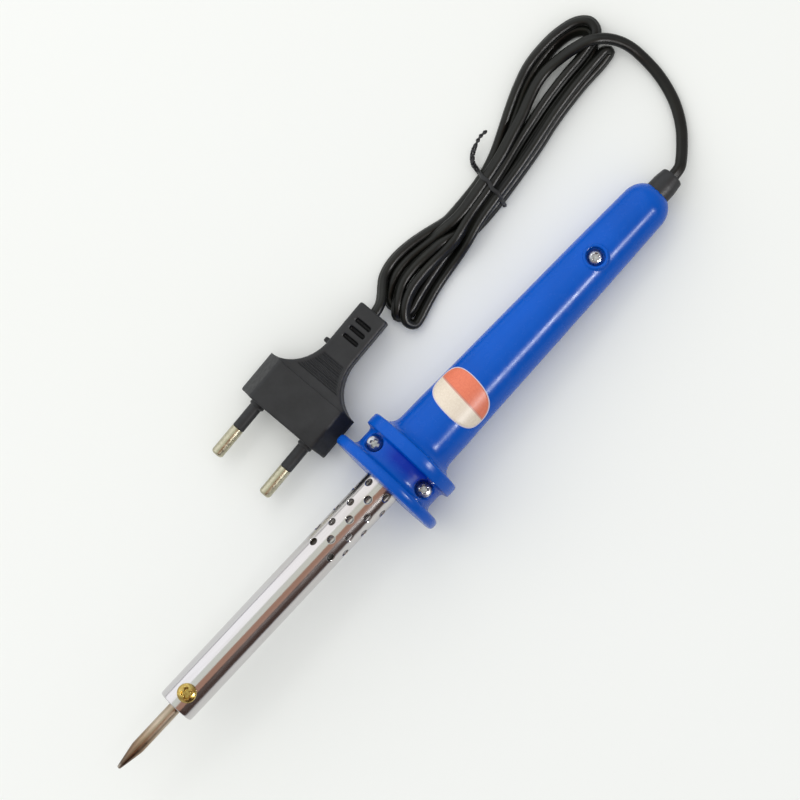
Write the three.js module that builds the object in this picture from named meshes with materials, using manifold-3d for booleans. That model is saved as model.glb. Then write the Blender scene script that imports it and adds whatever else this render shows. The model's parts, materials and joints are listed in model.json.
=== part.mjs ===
// Pencil soldering iron with a perforated barrel, a two-shell handle, a tied mains lead and a
// two-pin plug. Millimetres, +Z up, standing on the plane Z = 0, tip towards -X.
import * as THREE from 'three';
import { mergeVertices } from 'three/addons/utils/BufferGeometryUtils.js';
import Module from 'manifold-3d';

const wasm = await Module();
wasm.setup();

// ---------------------------------------------------------------- driving dimensions
const GAP = 0.3;                 // clearance between neighbouring pieces
const FAR = 60;                  // longer than any cut needs

// Stations along the iron's own axis, measured from the point of the tip.
const TIP_CONE = 8.2;
const BARREL_FRONT = 24.7;
const TIP_SCREW_X = 30.4;
const TIP_REAR = 72;
const FLANGE_FRONT = 114.2;
const FLANGE_THICK = 3.4;
const WAIST_LENGTH = 7.9;
const WAIST_SCREW_X = 121.4;
const BARREL_REAR = 132;
const LABEL_X = 148.9;
const REAR_SCREW_X = 206.9;
const HANDLE_END_X = 228.8;      // centre of the handle's half-round end
const IRON_END = 242.1;          // outer face of the cord grommet

// Radii and sections.
const TIP_R = 2;
const TIP_POINT_R = 0.6;
const BARREL_R = 6;
const BARREL_WALL = 0.5;
const FLANGE_R = 19.5;
const WAIST_R = 14.3;
const REAR_FLANGE_R = 16.35;
const HANDLE_END_R = 7.5;
const CORD_R = 1.85;
const CORE_R = 0.85;
const GROMMET_R = 4.1;
const SCREW_R = 1.4;             // shell screws
const HEAD_R = 2.4;
const HEAD_H = 1.6;
const WAIST_SCREW_Y = 10;

// Vents in the barrel: rows around it, alternate rows staggered by half a pitch.
const VENT_R = 1.25;
const VENT_ROWS = 10;
const VENT_PITCH = 8;
const VENT_LAST_X = 112.1;

// How the iron lies: on the flat of its front flange and on the round end of its handle.
const FOOT_DEPTH = 15.5;         // flat of the front flange below the axis
const FOOT_X = FLANGE_FRONT + FLANGE_THICK / 2;
const FOOT_TO_END = HANDLE_END_X - FOOT_X;
const TILT = Math.acos(HANDLE_END_R / Math.hypot(FOOT_DEPTH, FOOT_TO_END))
  - Math.atan2(FOOT_TO_END, FOOT_DEPTH);

// The plug, in its own frame: front face at x = 0, pins towards -x, lying on z = 0.
const PLUG_FRONT = [-14.2, 35.6];
const PLUG_TURN = THREE.MathUtils.degToRad(3);
const PLUG_BLOCK = 14.3;
const PLUG_FLARE = 28;
const PLUG_LENGTH = 43.7;
const PLUG_W = 33.1;
const PLUG_TOP_W = 24.4;
const PLUG_H = 14;
const NECK_W = 10.3;
const NECK_LOW = 3;
const NECK_HIGH = 11;
const PIN_R = 2;
const PIN_LENGTH = 20.2;
const PIN_SPACING = 19;
const PIN_BARE = 10.2;
const PIN_TAIL = 9;

// The free stretch of the lead, from the grommet to the hank, in the object's own frame.
const CORD_ROUTE = [
  [121.2, 0, 6.5], [124, 0.25, 6.2], [127.4, 1.5, 5.1], [131.2, 4.2, 3.7], [135.3, 7.9, 2.5],
  [139.0, 13.2, 1.95], [141.8, 20.4, 1.9], [143.0, 28.4, 1.9], [143.0, 34.4, 2.4], [142.4, 39.0, 3.6],
];

// The hank's outline on the table, its height, and the tie around its middle.
const HANK_OUTLINE = [
  [29.95, 35], [29.75, 40.6], [31.6, 44.2], [35.5, 46.8], [41, 48.3], [47.5, 48.6], [56, 47.2],
  [65, 45.3], [73, 44.7], [81.7, 45], [89, 47.3], [97, 51.2], [104.5, 55], [112, 57.6],
  [121, 59.2], [130, 58.7], [137, 56], [141.6, 51], [143.8, 45], [143.9, 40.8], [140.3, 40.2],
  [138, 38.4], [130, 37.4], [119, 37], [108, 36], [97, 34], [88, 33], [81.7, 32.6],
  [70, 31], [59, 28.8], [49, 26.6], [40, 24.9], [34.2, 25], [30.9, 28.5],
];
const HANK_H = 8.6;
const TIE_X = 81.7;
const TIE_R = 0.6;
const TIE_TAIL = [
  [81.7, 45.2, 4.6], [82.6, 47, 4.4], [84.6, 49.4, 4], [87.4, 51.2, 4.2], [90.6, 52.2, 5], [93.4, 52, 6.2],
];

// ---------------------------------------------------------------- helpers
const V2 = (x, y) => new THREE.Vector2(x, y);
const V3 = (x, y, z) => new THREE.Vector3(x, y, z);

/** The geometry with shared vertices merged and its faces pointing out. */
function closed(geometry) {
  const bare = new THREE.BufferGeometry();
  bare.setAttribute('position', geometry.attributes.position.clone());
  if (geometry.index) bare.setIndex(geometry.index.clone());
  const merged = mergeVertices(bare, 1e-4);
  const p = merged.attributes.position;
  const old = merged.index.array;
  const triangles = [];
  let volume = 0;
  for (let i = 0; i < old.length; i += 3) {
    const [a, b, c] = [old[i], old[i + 1], old[i + 2]];
    if (a === b || b === c || c === a) continue;
    triangles.push(a, b, c);
    const [va, vb, vc] = [a, b, c].map((k) => new THREE.Vector3().fromBufferAttribute(p, k));
    volume += va.dot(vb.cross(vc));
  }
  merged.setIndex(volume < 0 ? triangles.reverse() : triangles);
  merged.computeVertexNormals();
  return merged;
}

function solid(geometry) {
  const g = closed(geometry);
  return new wasm.Manifold(new wasm.Mesh({
    numProp: 3,
    vertProperties: new Float32Array(g.attributes.position.array),
    triVerts: new Uint32Array(g.index.array),
  }));
}

function toGeometry(manifold) {
  const mesh = manifold.getMesh();
  const g = new THREE.BufferGeometry();
  g.setAttribute('position', new THREE.BufferAttribute(new Float32Array(mesh.vertProperties), 3));
  g.setIndex(new THREE.BufferAttribute(new Uint32Array(mesh.triVerts), 1));
  g.computeVertexNormals();
  return g;
}

function cut(whole, ...tools) {
  return tools.reduce((left, tool) => left.subtract(solid(tool)), whole);
}

/** A solid of revolution about the X axis from [x, radius] pairs. */
function turned(profile, sides = 32) {
  const points = profile.map(([x, r]) => V2(r, x));
  const onAxis = profile[0][1] === 0 && profile[profile.length - 1][1] === 0;
  if (!onAxis) points.push(points[0].clone());
  return new THREE.LatheGeometry(points, sides).rotateZ(-Math.PI / 2);
}

/** The same about the Z axis from [z, radius] pairs, standing at (x, y). */
function turnedUp(profile, x, y, sides = 16) {
  return turned(profile, sides).rotateY(-Math.PI / 2).translate(x, y, 0);
}

/** A hollow tube along X. */
function sleeve(x0, x1, inner, outer, sides = 32) {
  return turned([[x0, inner], [x0, outer], [x1, outer], [x1, inner]], sides);
}

function rod(x0, x1, radius, sides = 24) {
  return turned([[x0, 0], [x0, radius], [x1, radius], [x1, 0]], sides);
}

function post(x, y, z0, z1, radius, sides = 16) {
  return turnedUp([[z0, 0], [z0, radius], [z1, radius], [z1, 0]], x, y, sides);
}

function block(x0, x1, y0, y1, z0, z1) {
  return new THREE.BoxGeometry(x1 - x0, y1 - y0, z1 - z0)
    .translate((x0 + x1) / 2, (y0 + y1) / 2, (z0 + z1) / 2);
}

/** A round bar that follows a smooth curve through the given points. */
function bar(points, radius, sides, steps, type = 'centripetal') {
  const curve = new THREE.CatmullRomCurve3(points.map((p) => V3(...p)), false, type);
  return bent(curve, radius, sides, steps);
}

function bent(curve, radius, sides, steps) {
  const ring = [];
  for (let i = 0; i < sides; i += 1) {
    const a = (2 * Math.PI * i) / sides;
    ring.push(V2(radius * Math.cos(a), radius * Math.sin(a)));
  }
  return new THREE.ExtrudeGeometry(new THREE.Shape(ring), { steps, extrudePath: curve, bevelEnabled: false });
}

/** A flat outline in X and Y, extruded from z0 to z1. */
function plate(outline, z0, z1) {
  const shape = new THREE.Shape(outline.map(([x, y]) => V2(x, y)));
  return new THREE.ExtrudeGeometry(shape, { depth: z1 - z0, bevelEnabled: false }).translate(0, 0, z0);
}

/** Points on an arc, in degrees, as [x, y] pairs. */
function arc(cx, cy, radius, from, to, steps) {
  const points = [];
  for (let i = 0; i <= steps; i += 1) {
    const a = THREE.MathUtils.degToRad(from + ((to - from) * i) / steps);
    points.push([cx + radius * Math.cos(a), cy + radius * Math.sin(a)]);
  }
  return points;
}

function finish(color, roughness, metalness) {
  return { color, roughness, metalness };
}

const FINISH = {
  abs: finish(0x105cc4, 0.25, 0),
  zinc: finish(0xb9bdc2, 0.35, 1),
  chrome: finish(0xd9dadb, 0.15, 1),
  brass: finish(0xb79a55, 0.35, 1),
  tip: finish(0x6e6150, 0.5, 1),
  ceramic: finish(0xe9e4d8, 0.7, 0),
  mica: finish(0xa8906a, 0.6, 0),
  nichrome: finish(0x8a8682, 0.45, 1),
  glassFibre: finish(0xeeeade, 0.9, 0),
  copper: finish(0xc9cbcc, 0.3, 1),
  brown: finish(0x6a3d22, 0.5, 0),
  blue: finish(0x2b63b5, 0.5, 0),
  pvc: finish(0x2b2c2a, 0.55, 0),
  label: finish(0xf2e9dc, 0.5, 0),
};

const group = new THREE.Group();
const iron = new THREE.Group();
const plug = new THREE.Group();

function add(parent, name, shape, look) {
  const geometry = shape.isBufferGeometry ? closed(shape) : toGeometry(shape);
  const mesh = new THREE.Mesh(geometry, new THREE.MeshStandardMaterial(look));
  mesh.name = name;
  parent.add(mesh);
}

// ---------------------------------------------------------------- handle shells
const waistFront = FLANGE_FRONT + FLANGE_THICK;
const waistRear = waistFront + WAIST_LENGTH;
const gripFront = waistRear + FLANGE_THICK;

// Outer radii of the grip, from the fillet behind the rear flange to the half-round end.
const GRIP = [
  [gripFront, 13.2], [gripFront + 0.9, 12], [gripFront + 2.2, 11], [gripFront + 4.8, 10.1],
  [142, 10.05], [158, 9.4], [174.7, 8.95], [189, 8.6], [REAR_SCREW_X, 8.25], [HANDLE_END_X, HANDLE_END_R],
];

function gripRadius(x) {
  const i = GRIP.findIndex(([end]) => end >= x);
  const [[x0, r0], [x1, r1]] = [GRIP[i - 1], GRIP[i]];
  return r0 + ((r1 - r0) * (x - x0)) / (x1 - x0);
}

function handleBody() {
  const rim = 0.9;               // chamfer of the flange rims
  const outer = turned([
    [FLANGE_FRONT, 0], [FLANGE_FRONT, FLANGE_R - rim], [FLANGE_FRONT + rim, FLANGE_R],
    [waistFront - rim, FLANGE_R], [waistFront, FLANGE_R - rim], [waistFront, WAIST_R],
    [waistRear, WAIST_R], [waistRear, REAR_FLANGE_R - rim], [waistRear + rim, REAR_FLANGE_R],
    [gripFront - rim, REAR_FLANGE_R], [gripFront, REAR_FLANGE_R - rim],
    ...GRIP, ...arc(HANDLE_END_X, 0, HANDLE_END_R, 75, 15, 4), [HANDLE_END_X + HANDLE_END_R, 0],
  ], 32);
  const bore = BARREL_R + GAP;
  const inner = turned([
    [FLANGE_FRONT - 1, 0], [FLANGE_FRONT - 1, bore], [120.2, bore], [120.2, 7.6], [122.6, 7.6],
    [122.6, bore], [130, bore], [134, 8.1], [142, 8.1], [158, 7.5], [189, 6.75], [215, 6.1],
    [219.8, 6], [219.8, 2.5], [221.6, 2.5], [221.6, 5.5], [226, 5.5], [226, 3.3], [228.2, 3.3],
    [228.2, GROMMET_R + GAP], [IRON_END, GROMMET_R + GAP], [IRON_END, 0],
  ], 24);
  return solid(outer).subtract(solid(inner));
}

/** Screw pillars, head recesses and shank holes: [x, y, pillar radius] of each. */
const SCREW_SEATS = [
  [REAR_SCREW_X, 0, 3],
  [WAIST_SCREW_X, WAIST_SCREW_Y, 0],
  [WAIST_SCREW_X, -WAIST_SCREW_Y, 0],
];
const SEAT_Z = 6.4;              // floor of the head recesses above the axis
const HOLE_LOW = -6.8;

function topShell(body) {
  const half = solid(block(0, IRON_END, -FAR, FAR, GAP / 2, FAR));
  let shell = body.intersect(half);
  shell = shell.add(solid(post(REAR_SCREW_X, 0, GAP / 2, 7, 3)));
  shell = shell.add(solid(post(REAR_SCREW_X, 0, 5.2, 8.75, 3.85, 20)));
  for (const [x, y] of SCREW_SEATS) {
    const recess = y === 0 ? 3 : 2.85;
    shell = cut(shell, post(x, y, SEAT_Z, FAR, recess, 16), post(x, y, -1, SEAT_Z + 1, SCREW_R + GAP, 12));
  }
  return shell;
}

function bottomShell(body) {
  const half = solid(block(0, IRON_END, -FAR, FAR, -FAR, -GAP / 2));
  let shell = body.intersect(half);
  shell = shell.add(solid(post(REAR_SCREW_X, 0, -7, -GAP / 2, 3)));
  for (const [x, y] of SCREW_SEATS) {
    shell = cut(shell, post(x, y, HOLE_LOW, 1, SCREW_R + GAP, 12));
  }
  const floor = block(-20, 20, -FAR, FAR, -FAR, 0).rotateY(-TILT).translate(FOOT_X, 0, -FOOT_DEPTH);
  return cut(shell, floor);
}

/** A pan-head cross-recess screw standing at (x, y), its head resting at height z. */
function panScrew(x, y, z, shank, head, height, low) {
  const body = turnedUp([
    [low, 0], [low + 1.2, shank], [z, shank], [z, head], [z + height * 0.45, head],
    [z + height * 0.85, head * 0.78], [z + height, head * 0.42], [z + height, 0],
  ], x, y, 12);
  const [long, wide, deep] = [head * 0.58, head * 0.17, height * 0.6];
  const top = z + height + 1;
  return cut(
    solid(body),
    block(x - long, x + long, y - wide, y + wide, z + height - deep, top),
    block(x - wide, x + wide, y - long, y + long, z + height - deep, top),
  );
}

function buildHandle() {
  const body = handleBody();
  add(iron, 'handle_top_shell', topShell(body), FINISH.abs);
  add(iron, 'handle_bottom_shell', bottomShell(body), FINISH.abs);
  const names = ['shell_screw_rear', 'shell_screw_left', 'shell_screw_right'];
  SCREW_SEATS.forEach(([x, y], i) => {
    const screw = panScrew(x, y, SEAT_Z + GAP, SCREW_R, HEAD_R, HEAD_H, HOLE_LOW + 0.5);
    add(iron, names[i], screw, FINISH.zinc);
  });
  add(iron, 'rating_label', label(), FINISH.label);
}

/** An oval sticker wrapped over the top of the grip. */
function label() {
  const [halfX, halfY, thick] = [6.8, 9.2, 0.25];
  const [x0, x1] = [LABEL_X - halfX - 1, LABEL_X + halfX + 1];
  const under = (x) => gripRadius(x) + GAP;
  const skin = turned([
    [x0, under(x0)], [x0, under(x0) + thick], [x1, under(x1) + thick], [x1, under(x1)],
  ], 32);
  const oval = [];
  for (let i = 0; i < 24; i += 1) {
    const a = (2 * Math.PI * i) / 24;
    oval.push([LABEL_X + halfX * Math.cos(a), halfY * Math.sin(a)]);
  }
  return solid(skin).intersect(solid(plate(oval, 1, 20)));
}

// ---------------------------------------------------------------- barrel, tip and heater
function buildBarrel() {
  const tube = sleeve(BARREL_FRONT, BARREL_REAR, BARREL_R - BARREL_WALL, BARREL_R, 30);
  const holes = [post(TIP_SCREW_X, 0, 2, 10, SCREW_R + GAP)];
  for (let row = 0; row < VENT_ROWS; row += 1) {
    const even = row % 2 === 0;
    const first = VENT_LAST_X - (even ? VENT_PITCH / 2 : 0);
    for (let i = 0; i < (even ? 3 : 4); i += 1) {
      const vent = post(first - i * VENT_PITCH, 0, 4, 8, VENT_R, 8);
      holes.push(vent.rotateX((2 * Math.PI * row) / VENT_ROWS));
    }
  }
  add(iron, 'barrel_tube', cut(solid(tube), ...holes), FINISH.chrome);
  add(iron, 'barrel_collar', sleeve(120.5, 122.3, BARREL_R + GAP, 7.3, 24), FINISH.zinc);

  const bush = solid(sleeve(BARREL_FRONT + 0.5, BARREL_FRONT + 11.5, TIP_R + GAP, BARREL_R - BARREL_WALL - GAP, 24));
  add(iron, 'tip_bush', cut(bush, post(TIP_SCREW_X, 0, 1, 8, SCREW_R + GAP, 12)), FINISH.brass);

  const tip = turned([
    [0, 0], [0, TIP_POINT_R], [TIP_CONE, TIP_R], [TIP_REAR - 0.6, TIP_R], [TIP_REAR, TIP_R - 0.6], [TIP_REAR, 0],
  ], 20);
  add(iron, 'soldering_tip', tip, FINISH.tip);
  const headSeat = BARREL_R + GAP;
  add(iron, 'tip_screw', panScrew(TIP_SCREW_X, 0, headSeat, SCREW_R, 2.85, 1.9, TIP_R + GAP), FINISH.brass);
}

/** The heater: a ceramic former around the tip's shank, its winding, wrap and leads. */
function buildHeater() {
  const [front, rear] = [38, 86];
  add(iron, 'element_former', sleeve(front, rear, TIP_R + GAP, 2.9, 20), FINISH.ceramic);
  add(iron, 'mica_wrap', sleeve(front, rear + 4, 4.7, 5.15, 20), FINISH.mica);

  const [coilR, wireR, turns] = [3.45, 0.25, 8.5];
  const [coilFront, coilRear] = [front + 3, rear - 3];
  class Winding extends THREE.Curve {
    getPoint(t, target = V3(0, 0, 0)) {
      const a = 2 * Math.PI * turns * t;
      return target.set(coilFront + (coilRear - coilFront) * t, coilR * Math.cos(a), coilR * Math.sin(a));
    }
  }
  add(iron, 'heating_coil', bent(new Winding(), wireR, 5, turns * 10), FINISH.nichrome);

  const holeY = 3.2;
  const disc = solid(rod(124, 131.5, BARREL_R - BARREL_WALL - GAP));
  const bores = [holeY, -holeY].map((y) => rod(120, 135, 0.55, 12).translate(0, y, 0));
  add(iron, 'lead_insulator', cut(disc, ...bores), FINISH.ceramic);

  // Each lead runs through the insulator and its fibre sleeve into a crimp, where a core meets it.
  const leadR = 0.2;
  const starts = { live: [[coilFront, 4.2, 0], [88, 4.2, 0]], neutral: [[coilRear + 0.8, -coilR, 0]] };
  for (const [side, sign] of [['live', 1], ['neutral', -1]]) {
    const y = sign * holeY;
    const start = starts[side];
    const route = [...start, [96, y, 0], [120, y, 0], [132, y, 0], [150, sign * 3, 0], [164, sign * 2.8, 0]];
    add(iron, `lead_wire_${side}`, bar(route, leadR, 5, 20), FINISH.nichrome);
    const cover = [[132, y, 0], [140, sign * 3.12, 0], [150, sign * 3, 0], [162, sign * 2.82, 0]];
    const outer = solid(bar(cover, 0.9, 8, 6));
    const inner = solid(bar([[130, y, 0], ...cover, [166, sign * 2.8, 0]], leadR + GAP, 8, 10));
    add(iron, `lead_sleeve_${side}`, outer.subtract(inner), FINISH.glassFibre);
    const crimp = sleeve(160, 169, 1.25, 1.7, 16).translate(0, sign * 2.8, 0);
    add(iron, `crimp_${side}`, crimp, FINISH.copper);
    const core = [
      [165, sign * 2.8, 0], [172, sign * 2.8, 0], [186, sign * 3, 0], [197, sign * 3.9, 0], [203, sign * 4.35, 0],
      [209, sign * 4.3, 0], [212.5, sign * 2.4, 0], [215.2, sign * 1, 0],
    ];
    add(iron, `cord_core_${side}`, bar(core, CORE_R, 8, 16), side === 'live' ? FINISH.brown : FINISH.blue);
  }
}

/** The lead's sheath inside the handle, the ring crimped on it and the grommet around it. */
function buildCordEntry() {
  add(iron, 'cord_sheath', rod(215.6, IRON_END, CORD_R, 16), FINISH.pvc);
  add(iron, 'cord_crimp_ring', sleeve(216.2, 219.5, CORD_R + GAP, 3.4, 24), FINISH.zinc);
  const grommet = turned([
    [222.6, CORD_R + GAP], [222.6, 4.9], [225.7, 4.9], [225.7, 3], [228.5, 3], [228.5, GROMMET_R],
    [236.5, GROMMET_R - 0.1], [240, 3.6], [241.4, 3.2], [IRON_END, 2.6], [IRON_END, CORD_R + GAP],
  ], 20);
  add(iron, 'cord_grommet', grommet, FINISH.pvc);
}

// ---------------------------------------------------------------- plug
function plugBody() {
  const [half, neck] = [PLUG_W / 2, NECK_W / 2];
  const right = arc(PLUG_FLARE, -(neck + 11.2), 11.2, 90, 176, 8);
  const outline = [
    [PLUG_LENGTH, -neck], ...right, [PLUG_BLOCK, -half], [0, -half],
    [0, half], [PLUG_BLOCK, half], ...right.map(([x, y]) => [x, -y]).reverse(), [PLUG_LENGTH, neck],
  ];
  const side = [
    [0, 0], [PLUG_BLOCK, 0], [PLUG_FLARE, NECK_LOW], [PLUG_LENGTH, NECK_LOW],
    [PLUG_LENGTH, NECK_HIGH], [PLUG_FLARE, NECK_HIGH], [PLUG_BLOCK + 0.2, PLUG_H - 0.5],
    [PLUG_BLOCK, PLUG_H], [0, PLUG_H],
  ];
  const [topHalf, mid] = [PLUG_TOP_W / 2, PLUG_H / 2];
  const section = [[-topHalf, 0], [topHalf, 0], [half, mid], [topHalf, PLUG_H], [-topHalf, PLUG_H], [-half, mid]];
  const prism = plate(section, 0, PLUG_LENGTH + 1).rotateX(Math.PI / 2).rotateZ(Math.PI / 2);
  let body = solid(plate(outline, 0, PLUG_H)).intersect(solid(prism));
  body = body.intersect(solid(plate(side, -half, half).rotateX(Math.PI / 2)));
  for (const x of [32.7, 35.7, 38.6]) {
    body = cut(body, block(x - 0.6, x + 0.6, -2.8, 2.8, NECK_HIGH - 1.5, NECK_HIGH + 1));
  }
  for (const y of [PIN_SPACING / 2, -PIN_SPACING / 2]) {
    const seat = rod(-1, 1.5, PIN_R + GAP, 16).translate(0, y, mid);
    body = cut(body, seat, rod(0, PIN_TAIL + GAP, PIN_R - 0.7 + GAP, 16).translate(0, y, mid));
  }
  return body;
}

function buildPlug() {
  add(plug, 'plug_body', plugBody(), FINISH.pvc);
  const [bareEnd, tailR] = [PIN_BARE - PIN_LENGTH, PIN_R - 0.7];
  for (const [side, y] of [['left', PIN_SPACING / 2], ['right', -PIN_SPACING / 2]]) {
    const pin = turned([
      [-PIN_LENGTH, 0], ...arc(1 - PIN_LENGTH, 1, 1, 180, 90, 4), [bareEnd, PIN_R], [bareEnd, tailR],
      [PIN_TAIL, tailR], [PIN_TAIL, 0],
    ], 16);
    add(plug, `plug_pin_${side}`, pin.translate(0, y, PLUG_H / 2), FINISH.copper);
    const cover = sleeve(bareEnd + GAP, 1.2, tailR + GAP, PIN_R - 0.05, 16);
    add(plug, `pin_sleeve_${side}`, cover.translate(0, y, PLUG_H / 2), FINISH.pvc);
  }
}

// ---------------------------------------------------------------- lead, hank and tie
function buildLead() {
  add(group, 'cord_free', bar(CORD_ROUTE, CORD_R, 8, 14), FINISH.pvc);

  const [groove, half] = [1.5, TIE_R + GAP];
  const [low, high] = [TIE_X - half, TIE_X + half];
  const [left, right] = [45, 32.6];
  const hank = cut(
    solid(plate(HANK_OUTLINE, 0, HANK_H)),
    block(low, high, right - 1, left + 1, -1, groove),
    block(low, high, right - 1, left + 1, HANK_H - groove, HANK_H + 1),
    block(low, high, right - 1, right + groove, -1, HANK_H + 1),
    block(low, high, left - groove, left + 1, -1, HANK_H + 1),
  );
  add(group, 'cord_hank', hank, FINISH.pvc);

  const clear = groove - GAP;
  const around = block(TIE_X - TIE_R, TIE_X + TIE_R, right - TIE_R, left + TIE_R, 0.1, HANK_H - 0.1);
  const window = block(low, high, right + clear, left - clear, clear, HANK_H - clear);
  const band = cut(solid(around), window);
  add(group, 'twist_tie', band.add(solid(bar(TIE_TAIL, TIE_R, 6, 8))), FINISH.pvc);
}

// ---------------------------------------------------------------- assembly
buildHandle();
buildBarrel();
buildHeater();
buildCordEntry();
buildPlug();
buildLead();

iron.rotation.y = TILT;
iron.position.set(
  -(IRON_END * Math.cos(TILT)) / 2,
  0,
  FOOT_X * Math.sin(TILT) + FOOT_DEPTH * Math.cos(TILT),
);
plug.rotation.z = PLUG_TURN;
plug.position.set(PLUG_FRONT[0], PLUG_FRONT[1], 0);
group.add(iron, plug);

export default group;
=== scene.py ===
import json
import math

import bmesh
import bpy
import numpy as np
from mathutils import Matrix, Vector


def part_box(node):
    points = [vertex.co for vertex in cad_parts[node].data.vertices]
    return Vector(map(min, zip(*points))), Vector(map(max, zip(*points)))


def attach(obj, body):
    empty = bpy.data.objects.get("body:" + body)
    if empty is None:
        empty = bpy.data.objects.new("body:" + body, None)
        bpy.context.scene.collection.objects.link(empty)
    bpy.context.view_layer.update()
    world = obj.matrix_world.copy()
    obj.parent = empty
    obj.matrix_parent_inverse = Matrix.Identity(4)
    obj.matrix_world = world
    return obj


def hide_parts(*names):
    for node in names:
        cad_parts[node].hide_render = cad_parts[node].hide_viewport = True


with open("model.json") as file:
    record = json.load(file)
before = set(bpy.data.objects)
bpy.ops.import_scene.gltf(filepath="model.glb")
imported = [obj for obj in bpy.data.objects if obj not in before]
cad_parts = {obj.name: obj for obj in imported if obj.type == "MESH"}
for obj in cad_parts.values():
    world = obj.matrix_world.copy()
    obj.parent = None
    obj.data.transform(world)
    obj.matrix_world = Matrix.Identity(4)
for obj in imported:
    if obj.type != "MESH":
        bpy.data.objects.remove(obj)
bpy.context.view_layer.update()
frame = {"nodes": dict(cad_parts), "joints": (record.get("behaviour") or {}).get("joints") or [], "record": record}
MM = 0.001

# ------------------------------------------------------------------ frames
# The iron's own frame, in millimetres: x from the tip's point, z up through the screws' heads.
JOINTS = {j["name"]: j for j in frame["joints"]}
UP = Vector(JOINTS["tip_screw_turn"]["axis"]).normalized()
ALONG = -Vector(JOINTS["tip_slide"]["axis"]).normalized()
ACROSS = UP.cross(ALONG)
SCREW_SEAT = Vector(JOINTS["tip_screw_turn"]["pos_m"])
SEAT_IN_IRON = Vector((0.0304, 0, 0.0063))
TURN = Matrix((ALONG, ACROSS, UP)).transposed()
IRON = Matrix.Translation(SCREW_SEAT - TURN @ SEAT_IN_IRON) @ TURN.to_4x4() @ Matrix.Scale(MM, 4)

# The plug's own frame: x from its front face towards the lead, standing on z = 0.
MOUNTS = {m["name"]: m for m in frame["record"]["mounts"]}
FACE = Vector(MOUNTS["plug_front"]["pos_m"])
PLUG_X = -Vector(MOUNTS["plug_front"]["axis"]).normalized()
PLUG_TURN = Matrix((PLUG_X, Vector((0, 0, 1)).cross(PLUG_X), Vector((0, 0, 1)))).transposed()
PLUG = Matrix.Translation((FACE.x, FACE.y, 0)) @ PLUG_TURN.to_4x4() @ Matrix.Scale(MM, 4)
WORLD = Matrix.Scale(MM, 4)


# ------------------------------------------------------------------ camera
# How far the picture is turned and leans (degrees), what it looks at and from how far (metres), and
# the lens (millimetres).
CAMERA_TURN, LEAN_X, LEAN_Y = 47.12, 0.8, 4.2
CAMERA_AT, CAMERA_FAR, CAMERA_LENS = (0.01521, 0.01485, 0), 0.700, 103.15


def camera():
    """Looks down on the table, with the iron running up to the right."""
    turn = math.radians(CAMERA_TURN)
    toward = Vector((math.sin(math.radians(LEAN_X)), -math.sin(math.radians(LEAN_Y)), 0))
    toward.z = math.sqrt(1 - toward.length_squared)
    right = Vector((math.cos(turn), -math.sin(turn), 0))
    right = (right - right.dot(toward) * toward).normalized()
    up = toward.cross(right)
    data = bpy.data.cameras.new("camera")
    data.sensor_width = 36
    data.lens = CAMERA_LENS
    cam = bpy.data.objects.new("camera", data)
    bpy.context.scene.collection.objects.link(cam)
    place = Matrix((right, up, toward)).transposed().to_4x4()
    place.translation = Vector(CAMERA_AT) + CAMERA_FAR * toward
    cam.matrix_world = place
    bpy.context.scene.camera = cam


camera()


# ------------------------------------------------------------------ mesh helpers
def piece(name, verts, faces, place=IRON, smooth=True):
    """A mesh object from millimetre points in the given frame."""
    mesh = bpy.data.meshes.new(name)
    m = np.array(place)
    co = np.asarray(verts, float) @ m[:3, :3].T + m[:3, 3]
    mesh.from_pydata(co.tolist(), [], [list(map(int, f)) for f in faces])
    mesh.update()
    obj = bpy.data.objects.new(name, mesh)
    bpy.context.scene.collection.objects.link(obj)
    bm = bmesh.new()
    bm.from_mesh(mesh)
    bmesh.ops.remove_doubles(bm, verts=bm.verts, dist=2e-7)
    bmesh.ops.recalc_face_normals(bm, faces=bm.faces)
    bm.to_mesh(mesh)
    bm.free()
    if smooth:
        mesh.shade_smooth()
    return obj


def crisp(obj, degrees=35):
    """Smooth shading, with edges sharper than this left hard."""
    bm = bmesh.new()
    bm.from_mesh(obj.data)
    for e in bm.edges:
        if len(e.link_faces) == 2 and e.calc_face_angle(0) > math.radians(degrees):
            e.smooth = False
    bm.to_mesh(obj.data)
    bm.free()
    return obj


def lathe(profile, sides=64):
    """Verts and faces of [x, radius] pairs turned about the x axis; ends on the axis are closed."""
    verts, rings = [], []
    for x, r in profile:
        if r < 1e-6:
            rings.append([len(verts)])
            verts.append((x, 0, 0))
        else:
            rings.append(list(range(len(verts), len(verts) + sides)))
            for i in range(sides):
                a = 2 * math.pi * i / sides
                verts.append((x, r * math.cos(a), r * math.sin(a)))
    faces = []
    for a, b in zip(rings, rings[1:]):
        for i in range(sides):
            j = (i + 1) % sides
            quad = [a[i % len(a)], a[j % len(a)], b[j % len(b)], b[i % len(b)]]
            quad = list(dict.fromkeys(quad))
            if len(quad) > 2:
                faces.append(quad)
    return verts, faces


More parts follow.
